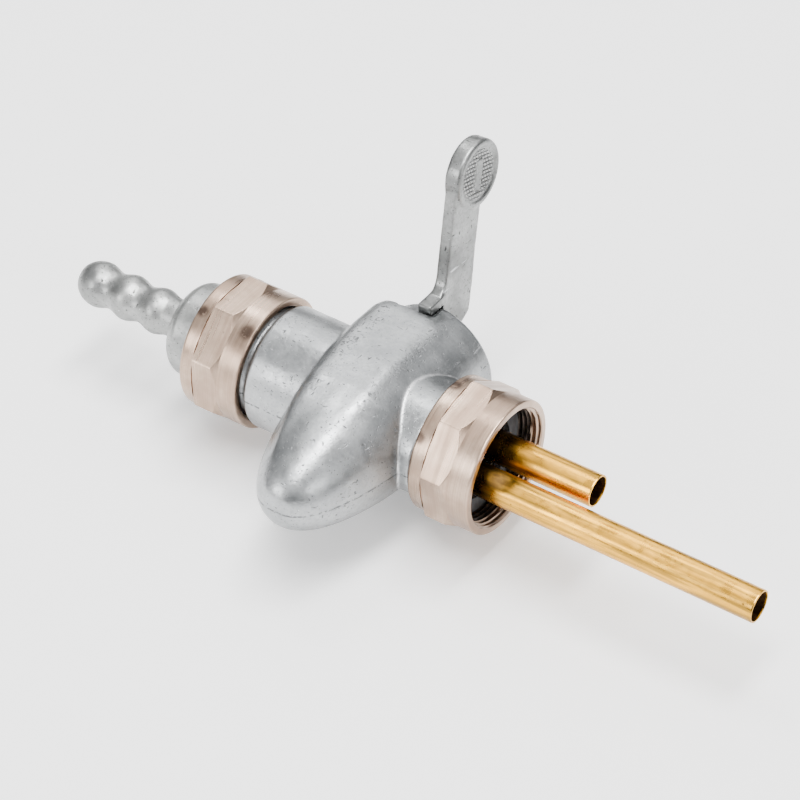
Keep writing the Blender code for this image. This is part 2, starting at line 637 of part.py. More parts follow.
def build_lever(axis):
    lever = turned("lever", [
        (HUB_BACK_Y, 0.0), (HUB_BACK_Y, HUB_BOSS_R - HUB_EDGE), (HUB_BACK_Y - HUB_EDGE, HUB_BOSS_R),
        (HUB_HIGH_Y + 1.0, HUB_BOSS_R), (HUB_HIGH_Y, HUB_BOSS_R + 1.0),
        (HUB_HIGH_Y, HUB_R - HUB_EDGE), (HUB_HIGH_Y - HUB_EDGE, HUB_R),
        (HUB_LOW_Y + HUB_EDGE, HUB_R), (HUB_LOW_Y, HUB_R - HUB_EDGE), (HUB_LOW_Y, 0.0),
    ], "Y", mat=ZINC, parent=axis)
    half = BLADE_T / 2
    blade = extruded("blade_stock", blade_outline(), "X", -half, half, parent=axis)
    bevel(blade, BLADE_EDGE)
    low = NOTCH_FLOOR_R + CLEAR
    root = HUB_LOW_Y + FINGER_ROOT
    side = [(FINGER_TIP_Y, low), (root, low), (root, low + FINGER_T), (FINGER_TIP_Y, low + FINGER_T)]
    finger = extruded("finger_stock", side, "X", -FINGER_W / 2, FINGER_W / 2, parent=axis)
    bevel(finger, BLADE_EDGE * 0.8)
    pad_low = PAD_FACE_X - PAD_T
    floor = PAD_FACE_X - PAD_RECESS_D
    edge = BLADE_EDGE * 1.5
    rear = BLADE_EDGE * 0.7
    pad = turned("pad_stock", [
        (floor, 0.0), (floor, PAD_RECESS_R * PAD_FLOOR_SHARE), (floor + PAD_RECESS_D * 0.3, PAD_RECESS_R - 0.3),
        (PAD_FACE_X, PAD_RECESS_R), (PAD_FACE_X, PAD_R - edge), (PAD_FACE_X - edge * 0.3, PAD_R - edge * 0.3),
        (PAD_FACE_X - edge, PAD_R), (pad_low + rear, PAD_R), (pad_low, PAD_R - rear), (pad_low, 0.0),
    ], "X", at=(0, PAD_Y, PAD_Z), parent=axis)
    lean = math.radians(BLADE_LEAN)
    along = Vector((math.sin(lean), math.cos(lean))) * (PAD_RECESS_R * PAD_BAR_SHARE)
    across = Vector((math.cos(lean), -math.sin(lean))) * (PAD_BAR_W / 2)
    centre = Vector((PAD_Y, PAD_Z))
    corners = [centre + along + across, centre + along - across,
               centre - along - across, centre - along + across]
    bar = extruded("pad_bar_stock", corners, "X", pad_low + PAD_T / 3, floor + PAD_RECESS_D * 0.75,
                   parent=axis)
    join(lever, blade, finger, pad, bar)

    side = DRIVE_SQUARE / 2 + CLEAR
    square = [(-side, -side), (side, -side), (side, side), (-side, side)]
    socket = extruded("drive_socket_cut", square, "Y", HUB_LOW_Y - 1.0, WEB_LOW_Y, parent=axis)
    hole = turned("lever_hole_cut", rod(WEB_LOW_Y - 1.0, WEB_HIGH_Y + 1.0, SCREW_R + CLEAR), "Y",
                  parent=axis, steps=SMALL_STEPS)
    counterbore = turned("lever_counterbore_cut", rod(WEB_HIGH_Y, HUB_BACK_Y + 6.0, WASHER_R + CLEAR),
                         "Y", parent=axis, steps=SMALL_STEPS + 8)
    cut(lever, socket, hole, counterbore)
    shade(lever)


def build_lever_fixing(axis):
    washer_low = WEB_HIGH_Y + CLEAR
    washer_high = washer_low + WASHER_T
    washer = turned("lever_washer", ring(washer_low, washer_high, SCREW_R + CLEAR, WASHER_R), "Y",
                    mat=STEEL, parent=axis, steps=SMALL_STEPS, closed=True)
    head_low = washer_high + CLEAR
    head_high = head_low + SCREW_HEAD_T
    shank_end = head_low - SCREW_REACH
    screw = turned("lever_screw", [
        (head_high, 0.0), (head_high, SCREW_HEAD_R - 0.5), (head_high - 0.5, SCREW_HEAD_R),
        (head_low, SCREW_HEAD_R), (head_low, SCREW_R), (shank_end + 0.5, SCREW_R),
        (shank_end, SCREW_R - 0.5), (shank_end, 0.0),
    ], "Y", mat=STEEL, parent=axis, steps=SMALL_STEPS)
    half = SCREW_SLOT_W / 2
    long = SCREW_HEAD_R + 1.0
    slot = extruded("screw_slot_cut", [(-long, -half), (long, -half), (long, half), (-long, half)],
                    "Y", head_high - SCREW_SLOT_D, head_high + 1.0, parent=axis)
    cut(screw, slot)
    shade(washer, screw)


def build_nut(name, rear_x, corner_deg):
    """A union nut whose collar starts at rear_x and whose mouth faces +X."""
    flat_r = NUT_FLATS / 2
    corner_r = flat_r / math.cos(math.pi / FLAT_COUNT)
    mouth = FLATS_END + FLATS_CHAMFER
    shell_points = [
        (0.0, NUT_R - NUT_EDGE), (NUT_EDGE, NUT_R), (FLATS_START, NUT_R),
        (FLATS_START, flat_r - FLATS_LAP), (mouth, flat_r - FLATS_LAP), (mouth, NUT_R),
        (NUT_L - NUT_EDGE, NUT_R), (NUT_L, NUT_R - NUT_EDGE),
        (NUT_L, NUT_BORE_R + 0.25), (NUT_L - 0.6, NUT_BORE_R), (NUT_COLLAR_T, NUT_BORE_R),
        (NUT_COLLAR_T, NUT_HOLE_R), (0.0, NUT_HOLE_R),
    ]
    profile = [(rear_x + distance, radius) for distance, radius in reversed(shell_points)]
    nut = turned(name, profile, "X", mat=NICKEL, steps=48, closed=True)

    turns = [math.radians(corner_deg) + 2 * math.pi * i / FLAT_COUNT for i in range(FLAT_COUNT)]
    outline = [(corner_r * math.cos(a), corner_r * math.sin(a)) for a in turns]
    low = FLATS_START - FLATS_LAP
    high = mouth + FLATS_LAP
    prism = extruded(name + "_flats_stock", outline, "X", rear_x + low, rear_x + high)
    sunk_r = flat_r - FLATS_LAP / 2
    slope = (corner_r - sunk_r) / FLATS_CHAMFER
    cone_points = [(low - 0.5, 0.0), (low - 0.5, corner_r + slope), (FLATS_END - 1.0, corner_r + slope),
                   (mouth, sunk_r), (high + 0.5, sunk_r), (high + 0.5, 0.0)]
    cone_profile = [(rear_x + distance, radius) for distance, radius in reversed(cone_points)]
    cone = turned(name + "_chamfer_tool", cone_profile, "X", steps=48)
    boolean(prism, cone, "INTERSECT")
    core_r = (NUT_BORE_R + flat_r) / 2
    core = turned(name + "_core_cut", rod(rear_x + low - 1.0, rear_x + high + 1.0, core_r), "X", steps=48)
    cut(prism, core)
    join(nut, prism)
    shade(nut, angle=20)


def build_ring_and_gaskets():
    wire = turned("nut_retaining_ring", wire_section(RING_X, RING_CENTRE_R, RING_WIRE_R), "X",
                  mat=STEEL, closed=True)
    shade(wire, angle=60)
    tank = turned("tank_gasket", ring(-TANK_GASKET_T, 0.0, SPIGOT_RECESS_R, FLANGE_R), "X",
                  mat=FIBRE, closed=True)
    outlet = turned("outlet_gasket", ring(OUTLET_GASKET_X, OUTLET_GASKET_X + OUTLET_GASKET_T,
                                          BOSS_BORE_R, FLANGE_R), "X", mat=FIBRE, closed=True)
    shade(tank, outlet)


def barb_profile():
    """Outer profile from the flange face to the rounded end, then back along the bore."""
    flange_low = BARB_FACE_X - BARB_FLANGE_T
    dome_x = flange_low - DOME_START
    profile = [(BARB_FACE_X, FLANGE_R), (flange_low, FLANGE_R), (flange_low, NECK_R), (dome_x, NECK_R)]
    for i in range(1, DOME_STEPS + 1):
        a = math.radians(i * DOME_CUT_DEG / DOME_STEPS)
        profile.append((dome_x - DOME_L * math.sin(a), NECK_R * math.cos(a)))
    first = dome_x - DOME_L * math.sin(math.radians(DOME_CUT_DEG)) - FIRST_BULGE
    swing = (BARB_BULGE_R - BARB_NECK_R) / 2
    mean = (BARB_BULGE_R + BARB_NECK_R) / 2
    last = first - BULGE_PITCH * (BULGE_COUNT - 1)
    steps = BULGE_STEPS * (BULGE_COUNT - 1) + BULGE_STEPS // 3
    start = first + BULGE_PITCH * 3 / 8
    for i in range(steps + 1):
        x = start + (last - start) * i / steps
        profile.append((x, mean + swing * math.cos(2 * math.pi * (x - first) / BULGE_PITCH)))
    for i in range(1, BARB_TIP_STEPS + 1):
        a = math.radians(i * BARB_TIP_DEG / BARB_TIP_STEPS)
        tip = last - BARB_TIP_L * math.sin(a)
        profile.append((tip, BARB_BULGE_R * math.cos(a)))
    profile += [(tip, BARB_BORE_R), (dome_x, BARB_BORE_R), (dome_x + 1.5, BOSS_BORE_R),
                (BARB_FACE_X, BOSS_BORE_R)]
    return profile


def build_barb():
    barb = turned("hose_barb", barb_profile(), "X", mat=ZINC, closed=True, steps=32)
    shade(barb)


def build_pipe(name, y, skew, end_x):
    inner = PIPE_R - PIPE_WALL
    pipe = turned(name, ring(PIPE_SEAT_X, end_x, inner, PIPE_R), "X", at=(0, y, skew), mat=BRASS,
                  steps=SMALL_STEPS + 8, closed=True)
    shade(pipe)


def main():
    build_body()
    build_valve()
    axis = bpy.data.objects.new("lever_axis", None)
    PARTS.objects.link(axis)
    axis.location = (SPINDLE_X * MM, 0.0, 0.0)
    axis.rotation_euler = (0.0, math.radians(LEVER_TILT), 0.0)
    build_rotor(axis)
    build_lever(axis)
    build_lever_fixing(axis)
    build_nut("tank_nut", TANK_NUT_REAR_X, TANK_NUT_TURN)
    build_nut("outlet_nut", OUTLET_NUT_REAR_X, OUTLET_NUT_TURN)
    build_ring_and_gaskets()
    build_barb()
    build_pipe("main_pipe", MAIN_Y, -PIPE_SKEW_Z, MAIN_PIPE_END_X)
    build_pipe("reserve_pipe", RESERVE_Y, PIPE_SKEW_Z, RESERVE_PIPE_END_X)


main()
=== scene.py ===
"""Looks of the fuel tap: fine meshes, procedural metals, studio light, the photograph's camera."""
import math

import bpy
import numpy as np
from mathutils import Matrix, Vector


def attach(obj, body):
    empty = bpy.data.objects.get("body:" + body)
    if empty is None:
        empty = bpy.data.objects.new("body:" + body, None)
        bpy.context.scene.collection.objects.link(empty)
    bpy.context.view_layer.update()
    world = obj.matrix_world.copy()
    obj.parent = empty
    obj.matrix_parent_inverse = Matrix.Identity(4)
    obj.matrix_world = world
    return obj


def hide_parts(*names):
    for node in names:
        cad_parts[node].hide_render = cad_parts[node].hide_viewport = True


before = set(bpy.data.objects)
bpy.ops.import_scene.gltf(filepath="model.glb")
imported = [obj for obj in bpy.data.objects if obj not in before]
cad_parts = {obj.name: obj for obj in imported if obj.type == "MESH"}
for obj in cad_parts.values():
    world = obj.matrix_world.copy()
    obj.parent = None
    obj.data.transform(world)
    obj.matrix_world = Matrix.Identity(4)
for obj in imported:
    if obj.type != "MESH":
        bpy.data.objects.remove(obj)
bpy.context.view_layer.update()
MM = 0.001

# Sizes from here to the studio are in millimetres. Casting, as the solid's sections give it
SPINDLE_X = -24.0
RIM_Y = 19.8
RIM_R = 12.75
BODY_R = 13.1
NOSE_START_Y = -9.5
NOSE_TIP_Y = -34.5
NOSE_POWER = 1.28
NOSE_ROUND = 2.55
HUMP_TOP_Z = 13.7
HUMP_LEFT_DEG = 70.0
HUMP_RIGHT_DEG = -53.0
HUMP_RIGHT_D = 11.4
HUMP_NOSE_Y = -14.0
HUMP_NOSE_LEVEL = 0.985
HUMP_RISE_Y = -13.0
HUMP_FULL_Y = -1.0
HUMP_SHOULDER_Y = 12.5
HUMP_CREST = 14.0
HUMP_BLEND = 36.0
HUMP_SUNK = 0.8
HUMP_FADE_DEG = 45.0
HUMP_FLARE = 1.2
HUMP_FLARE_Y = -8.0
BOSS_R = 12.65
OUTLET_SHOULDER_X = -47.6

# Oval inlet neck, which is rounder in the solid
NECK_WIDE = 12.5
NECK_HIGH = 10.65
NECK_OFF = -0.3
NECK_START_X = SPINDLE_X + 9.0
NECK_END_X = -9.05
NECK_HOLE_R = 9.2
NECK_STEPS = 96

# Casting's mesh: grid size, and how closely it is drawn onto the skin
BODY_VOXEL = 0.365
LEVER_VOXEL = 0.22
SKIN_ROUNDS = 5
SKIN_MELT = 0.10
SKIN_STEP = 0.02
SKIN_REACH = 0.30
NECK_FILL_REACH = 2.4
NECK_SINK_REACH = 0.6

# Union nuts
NUT_BORE_R = 11.7
NUT_R = 13.7
NUT_L = 13.46
NUT_HOLE_R = 10.0
NUT_COLLAR_T = 2.2
NUT_REAR_EDGE = 0.5
NUT_MOUTH_EDGE = 0.4
NUT_MOUTH_CHAMFER = 0.62
NUT_STEPS = 400
FLAT_COUNT = 8
FLAT_R = 13.6
FLATS_START = 3.15
FLATS_END = 7.75
FLATS_CHAMFER = 1.1
FLATS_REAR_SLOPE = 1.9
CORNER_BREAK = 0.025
GROOVE_HALF = 0.13
GROOVE_DEPTH = 0.2
THREAD_PITCH = 1.0
THREAD_DEPTH = 0.75
THREAD_STEP = 0.13
THREAD_START = NUT_COLLAR_T + 2.6
BRIGHT_MOUTH_L = 2.6
TANK_NUT_REAR_X = -8.7
TANK_NUT_TURN = 32.5
OUTLET_NUT_REAR_X = -62.06
OUTLET_NUT_TURN = 23.8

# Hose barb
BARB_FACE_X = -57.9
BARB_FLANGE_T = 1.7
BARB_FLANGE_R = 11.3
BARB_EDGE = 0.1
BARB_BORE_R = 2.4
BARB_SEAT_R = 5.0
DOME_R = 9.7
DOME_START = 7.4
DOME_L = 4.5
DOME_CUT_DEG = 66.3
BARB_NECK_R = 3.9
BARB_BULGE_R = 4.75
BULGE_PITCH = 7.35
BULGE_COUNT = 3
BULGE_LEAD = 0.375
FIRST_BULGE = 5.95
BARB_TIP_L = 5.2
BARB_TIP_DEG = 50.0
BARB_STEPS = 160

# Stand pipes, with a dent in the long one
PIPE_R = 3.25
PIPE_BORE_R = 2.88
PIPE_START_X = -13.9
PIPE_SPACE = 0.35
PIPE_STEPS = 96
MAIN_Y = -4.3
MAIN_Z = -1.1
MAIN_END_X = 61.1
RESERVE_Y = 3.2
RESERVE_Z = 1.1
RESERVE_END_X = 22.6
DENT_X = 7.4
DENT_DEG = 106.0
DENT_DEPTH = 0.34
DENT_L = 1.5
DENT_SPREAD = 0.5

# Lever's pad, with a bar and dots in its dish
LEVER_TILT = -4.0
PAD_Y = 33.85
PAD_Z = 35.1
PAD_FACE_X = 2.0
PAD_FLOOR = 0.50
PAD_BACK = 0.35
PAD_GROUND_R = 5.3
PAD_LEAN = 15.0
PAD_STEPS = 150
DOT_PITCH = 0.95
DOT_ROW = DOT_PITCH * 0.87
DOT_TOP = 0.26
DOT_CORE_R = 0.18
DOT_FOOT_R = 0.42
BAR_HALF_L = 2.2
BAR_HALF_W = 0.85
BAR_TOP = 0.30

# Camera, paper and lamps, in metres and watts
CAMERA_PLACE = (0.221643, -0.357394, 0.374732)
CAMERA_TURN = (
    (0.825414, -0.372001, 0.424626),
    (0.564482, 0.534330, -0.629167),
    (0.007161, 0.759017, 0.651031),
)
CAMERA_LENS = 135.0
CAMERA_SENSOR = 36.0
PAPER_Z = -0.0185
PAPER_HALF = 4.0
PAPER_GLOW = 0.26
LAMPS = (
    # name, place, aim, size, power
    ("key", (0.02, -0.05, 0.95), (0.02, -0.05, 0), (0.22, 1.05), 21.0),
    ("fill", (0.70, -0.30, 0.40), (0, 0, 0), (0.35, 0.35), 2.5),
    ("front", (-0.42, -0.84, 0.34), (0, 0, 0), (0.50, 0.34), 5.5),
    ("rear", (-0.40, 0.60, 0.55), (0, 0, 0), (0.5, 0.35), 1.5),
    ("left", (-0.50, 0.32, 0.92), (0, 0, 0), (0.22, 0.30), 2.6),
)
# Grey of the surroundings, from straight down at 0 to straight up at 1
ROOM_DOWN = (0.40, (0.45, 0.45, 0.46, 1))
ROOM_UP = (0.95, (0.95, 0.95, 0.95, 1))
ROOM_BETWEEN = ((0.53, 0.16), (0.62, 0.22), (0.72, 0.62), (0.82, 0.95))

# Dark spots on the nuts, partly brown handling stains and partly painted dark reflections, in
# metres, with their reach
NICKEL_STAINS_AND_REFLECTIONS = (
    ((-0.0609, -0.0067, 0.0119), 0.0018),
    ((-0.0502, -0.0069, 0.0118), 0.0024),
    ((-0.0079, 0.0009, 0.0137), 0.0022),
    ((-0.0080, -0.0105, 0.0088), 0.0018),
)
# Place of the painted shade in the main pipe's dent, in metres
DENT_SHADE = (0.0063, -0.0053, 0.0020)


# Camera, paper and light
def add_camera():
    data = bpy.data.cameras.new("camera")
    data.sensor_width = CAMERA_SENSOR
    data.lens = CAMERA_LENS
    data.clip_start = 0.01
    camera = bpy.data.objects.new("camera", data)
    bpy.context.scene.collection.objects.link(camera)
    camera.matrix_world = Matrix.Translation(CAMERA_PLACE) @ Matrix(CAMERA_TURN).to_4x4()
    bpy.context.scene.camera = camera


def add_lamp(name, place, aim, size, power):
    data = bpy.data.lights.new(name, "AREA")
    data.shape = "RECTANGLE"
    data.size, data.size_y = size
    data.energy = power
    lamp = bpy.data.objects.new(name, data)
    bpy.context.scene.collection.objects.link(lamp)
    lamp.location = place
    lamp.rotation_euler = (Vector(aim) - Vector(place)).to_track_quat("-Z", "Y").to_euler()


def add_room():
    """Soft grey surroundings: mid grey from below, dark near eye level and light overhead."""
    world = bpy.data.worlds.new("studio")
    world.use_nodes = True
    nodes = world.node_tree.nodes
    links = world.node_tree.links
    nodes.clear()
    out = nodes.new("ShaderNodeOutputWorld")
    back = nodes.new("ShaderNodeBackground")
    back.inputs["Strength"].default_value = 1.0
    ramp = nodes.new("ShaderNodeValToRGB")
    split = nodes.new("ShaderNodeSeparateXYZ")
    coords = nodes.new("ShaderNodeTexCoord")
    scale = nodes.new("ShaderNodeMapRange")
    scale.inputs["From Min"].default_value = -1.0
    scale.inputs["From Max"].default_value = 1.0
    stops = ramp.color_ramp.elements
    stops[0].position, stops[0].color = ROOM_DOWN
    stops[1].position, stops[1].color = ROOM_UP
    for place, level in ROOM_BETWEEN:
        stops.new(place).color = (level, level * 1.01, level * 1.03, 1)
    links.new(coords.outputs["Generated"], split.inputs[0])
    links.new(split.outputs["Z"], scale.inputs["Value"])
    links.new(scale.outputs["Result"], ramp.inputs["Fac"])
    links.new(ramp.outputs["Color"], back.inputs["Color"])
    links.new(back.outputs[0], out.inputs["Surface"])
    bpy.context.scene.world = world


def add_paper():
    """White paper under the tap, with a faint grain and a glow that lifts it towards white."""
    mesh = bpy.data.meshes.new("floor")
    half = PAPER_HALF
    corners = [(-half, -half), (half, -half), (half, half), (-half, half)]
    mesh.from_pydata([(x, y, PAPER_Z) for x, y in corners], [], [(0, 1, 2, 3)])
    floor = bpy.data.objects.new("floor", mesh)
    bpy.context.scene.collection.objects.link(floor)
    mat = bpy.data.materials.new("floor_paper")
    mat.use_nodes = True
    nodes = mat.node_tree.nodes
    links = mat.node_tree.links
    shader = nodes["Principled BSDF"]
    shader.inputs["Roughness"].default_value = 0.9
    shader.inputs["Emission Strength"].default_value = PAPER_GLOW
    grain = nodes.new("ShaderNodeTexNoise")
    grain.inputs["Scale"].default_value = 900.0
    tint = nodes.new("ShaderNodeValToRGB")
    tint.color_ramp.elements[0].color = (0.93, 0.93, 0.93, 1)
    tint.color_ramp.elements[1].color = (0.96, 0.96, 0.96, 1)
    links.new(grain.outputs["Fac"], tint.inputs["Fac"])
    links.new(tint.outputs["Color"], shader.inputs["Base Color"])
    links.new(tint.outputs["Color"], shader.inputs["Emission Color"])
    mesh.materials.append(mat)


# Material helpers
class Paint:
    """A principled material and short calls for its node network. Places are in metres."""

    def __init__(self, name, roughness, metallic):
        self.mat = bpy.data.materials.new(name)
        self.mat.use_nodes = True
        self.nodes = self.mat.node_tree.nodes
        self.links = self.mat.node_tree.links
        self.shader = self.nodes["Principled BSDF"]
        self.shader.inputs["Metallic"].default_value = metallic
        self.shader.inputs["Roughness"].default_value = roughness
        self.place = self.nodes.new("ShaderNodeTexCoord").outputs["Object"]

    def link(self, a, b):
        self.links.new(a, b)

    def scaled(self, scale):
        """The place stretched along each axis, so that a noise on it becomes streaks."""
        node = self.nodes.new("ShaderNodeMapping")
        node.inputs["Scale"].default_value = scale
        self.link(self.place, node.inputs["Vector"])
        return node.outputs["Vector"]

    def noise(self, scale, detail=3.0, rough=0.5, at=None):
        node = self.nodes.new("ShaderNodeTexNoise")
        node.inputs["Scale"].default_value = scale
        node.inputs["Detail"].default_value = detail
        node.inputs["Roughness"].default_value = rough
        self.link(at or self.place, node.inputs["Vector"])
        return node.outputs["Fac"]

    def cells(self, scale):
        node = self.nodes.new("ShaderNodeTexVoronoi")
        node.inputs["Scale"].default_value = scale
        self.link(self.place, node.inputs["Vector"])
        return node.outputs["Distance"]

    def band(self, value, low, high, to_low=0.0, to_high=1.0):
        """A smooth step of the value from low to high."""
        node = self.nodes.new("ShaderNodeMapRange")
        node.interpolation_type = "SMOOTHSTEP"
        numbers = {"From Min": low, "From Max": high, "To Min": to_low, "To Max": to_high}
        for key, number in numbers.items():
            node.inputs[key].default_value = number
        self.link(value, node.inputs["Value"])
        return node.outputs["Result"]

    def math(self, kind, a, b):
        node = self.nodes.new("ShaderNodeMath")
        node.operation = kind
        for socket, value in zip(node.inputs, (a, b)):
            if isinstance(value, (int, float)):
                socket.default_value = value
            else:
                self.link(value, socket)
        return node.outputs["Value"]

    def mix(self, fac, a, b):
        node = self.nodes.new("ShaderNodeMix")
        node.data_type = "RGBA"
        self.link(fac, node.inputs["Factor"])
        for socket, value in ((node.inputs[6], a), (node.inputs[7], b)):
            if isinstance(value, tuple):
                socket.default_value = (*value, 1.0)
            else:
                self.link(value, socket)
        return node.outputs[2]

    def axis(self, name):
        node = self.nodes.new("ShaderNodeSeparateXYZ")
        self.link(self.place, node.inputs[0])
        return node.outputs[name]

    def near(self, centre, outer, inner):
        """One near a point, falling to zero at the outer distance."""
        node = self.nodes.new("ShaderNodeVectorMath")
        node.operation = "DISTANCE"
        self.link(self.place, node.inputs[0])
        node.inputs[1].default_value = centre
        return self.band(node.outputs["Value"], outer, inner)

    def attribute(self, name):
        node = self.nodes.new("ShaderNodeAttribute")
        node.attribute_name = name
        return node.outputs["Fac"]

    def bump(self, height, distance, strength=1.0, normal=None):
        node = self.nodes.new("ShaderNodeBump")
        node.inputs["Distance"].default_value = distance
        node.inputs["Strength"].default_value = strength
        self.link(height, node.inputs["Height"])
        if normal is not None:
            self.link(normal, node.inputs["Normal"])
        return node.outputs["Normal"]

    def finish(self, colour, roughness, normal):
        self.link(colour, self.shader.inputs["Base Color"])
        self.link(roughness, self.shader.inputs["Roughness"])
        self.link(normal, self.shader.inputs["Normal"])
        return self.mat


def shade(colour, share):
    return tuple(c * share for c in colour)


# Materials
def zinc_cast(name, light, dark, rough, marked=False, ground=False):
    """Die-cast zinc: cloudy grey, fine grain, dark pits and hair scratches.

    marked adds the casting's worn edges and pitted parting line, a painted highlight along the
    fillet where the neck leaves the bullet, and painted shade on the neck inside the tank nut;
    ground paints shade into the low parts of the pad's dish, between the dots.
    """
    paint = Paint(name, rough, 1.0)
    cloud = paint.band(paint.noise(85.0, 4.0, 0.6), 0.36, 0.64)
    colour = paint.mix(cloud, dark, light)
    speckle = paint.band(paint.noise(1300.0, 3.0, 0.7), 0.35, 0.7, 0.0, 0.35)
    colour = paint.mix(speckle, colour, shade(dark, 0.72))

    patch = paint.band(paint.noise(120.0, 2.0, 0.5), 0.44, 0.56)
    pit = paint.math("MULTIPLY", paint.band(paint.cells(1150.0), 0.18, 0.08), patch)
    fleck = paint.band(paint.noise(1400.0, 3.0, 0.65), 0.64, 0.71)
    pit = paint.math("MAXIMUM", pit, fleck)
    for stretch in ((1.0, 0.25, 1.0), (0.25, 1.0, 1.0), (0.7, 0.5, 0.3)):
        stroke = paint.band(paint.noise(1500.0, 2.0, 0.5, paint.scaled(stretch)), 0.69, 0.75)
        pit = paint.math("MAXIMUM", pit, stroke)
    if marked:
        ragged = paint.band(paint.noise(1200.0, 3.0, 0.7), 0.55, 0.62)
        worn = paint.math("MULTIPLY", paint.attribute("edge_marks"), ragged)
        pit = paint.math("MAXIMUM", pit, worn)
        seam = paint.band(paint.math("ABSOLUTE", paint.axis("Z"), 0.0), 0.00032, 0.00008)
        long_break = paint.band(paint.noise(55.0, 2.0, 0.5), 0.36, 0.50, 0.25, 1.0)
        broken = paint.band(paint.noise(900.0, 3.0, 0.7), 0.42, 0.54)
        broken = paint.math("MULTIPLY", broken, long_break)
        pit = paint.math("MAXIMUM", pit, paint.math("MULTIPLY", seam, broken))
    lengthwise = paint.scaled((1.0, 0.10, 1.0))
    scratch = paint.band(paint.noise(1400.0, 1.0, 0.4, lengthwise), 0.765, 0.80)

    colour = paint.mix(paint.math("MULTIPLY", pit, 0.7), colour, shade(dark, 0.25))
    colour = paint.mix(paint.math("MULTIPLY", scratch, 0.5), colour, (0.75, 0.76, 0.78))
    if marked:
        # painted shade: the neck inside the tank nut is darkened nearly to black
        neck_shade_in_nut = paint.band(paint.axis("X"), -0.0086, -0.0080, 0.0, 0.8)
        colour = paint.mix(neck_shade_in_nut, colour, shade(dark, 0.1))
        # painted highlight: a thin near-white line along the fillet where the neck leaves the
        # bullet
        fillet_highlight = paint.math("MULTIPLY", paint.attribute("fillet_highlight_line"), 0.6)
        colour = paint.mix(fillet_highlight, colour, (0.95, 0.95, 0.95))
    if ground:
        # painted shade: the low ground between the pad's dots and bar is darkened towards black
        low = paint.math("MULTIPLY", paint.attribute("painted_recess_shade"), 0.75)
        colour = paint.mix(low, colour, shade(dark, 0.2))

    mottled = paint.band(paint.noise(240.0, 3.0, 0.6), 0.3, 0.7, rough - 0.06, rough + 0.08)
    roughness = paint.math("ADD", mottled, paint.math("MULTIPLY", pit, 0.25))
    normal = paint.bump(paint.noise(330.0, 2.0, 0.5), 0.00010, 0.6)
    normal = paint.bump(paint.noise(1500.0, 2.0, 0.6), 0.000045, 0.7, normal)
    normal = paint.bump(paint.math("MULTIPLY", pit, -1.0), 0.00004, 0.8, normal)
    normal = paint.bump(paint.math("MULTIPLY", scratch, -1.0), 0.00003, 0.8, normal)
    return paint.finish(colour, roughness, normal)


def nickel_plate():
    """Champagne nickel over turned brass: hair-fine rings, faint clouds, a few brown stains, and
    dark spots that are partly stains and partly painted reflections.
    """
    paint = Paint("nickel_plate", 0.3, 1.0)
    cloud = paint.band(paint.noise(110.0, 3.0, 0.55), 0.35, 0.65)
    colour = paint.mix(cloud, (0.35, 0.248, 0.185), (0.52, 0.385, 0.295))
    speck = paint.band(paint.noise(1500.0, 3.0, 0.7), 0.4, 0.7, 0.0, 0.3)
    colour = paint.mix(speck, colour, (0.36, 0.245, 0.175))
    rings = paint.noise(4300.0, 2.0, 0.5, paint.scaled((1.0, 0.012, 0.012)))
    colour = paint.mix(paint.band(rings, 0.45, 0.58, 0.0, 0.26), colour, (0.26, 0.175, 0.125))
    stain = paint.band(paint.noise(300.0, 4.0, 0.75), 0.66, 0.76)
    blot = paint.band(paint.noise(600.0, 3.0, 0.7), 0.24, 0.5)
    # dark spots at the listed places: partly brown stains, partly painted dark reflections
    for place, size in NICKEL_STAINS_AND_REFLECTIONS:
        mark = paint.math("MULTIPLY", paint.near(place, size, size * 0.3), blot)
        stain = paint.math("MAXIMUM", stain, mark)
    colour = paint.mix(paint.math("MULTIPLY", stain, 0.85), colour, (0.05, 0.032, 0.025))
    broad = paint.noise(900.0, 2.0, 0.5, paint.scaled((1.0, 0.05, 0.05)))
    roughness = paint.band(broad, 0.3, 0.7, 0.26, 0.38)
    normal = paint.bump(rings, 0.000025, 0.6)
    normal = paint.bump(broad, 0.00002, 0.35, normal)
    normal = paint.bump(paint.noise(700.0, 2.0, 0.5), 0.00003, 0.35, normal)
    return paint.finish(colour, roughness, normal)


def thread_shade():
    """Metal inside the nuts, painted nearly black as the shade inside them, in uneven blotches."""
    paint = Paint("thread_shade", 0.4, 1.0)
    stain = paint.band(paint.noise(420.0, 4.0, 0.7), 0.35, 0.65)
    colour = paint.mix(stain, (0.045, 0.037, 0.033), (0.12, 0.095, 0.08))
    roughness = paint.band(paint.noise(600.0, 3.0, 0.6), 0.3, 0.7, 0.35, 0.6)
    return paint.finish(colour, roughness, paint.bump(paint.noise(1400.0), 0.00002, 0.5))


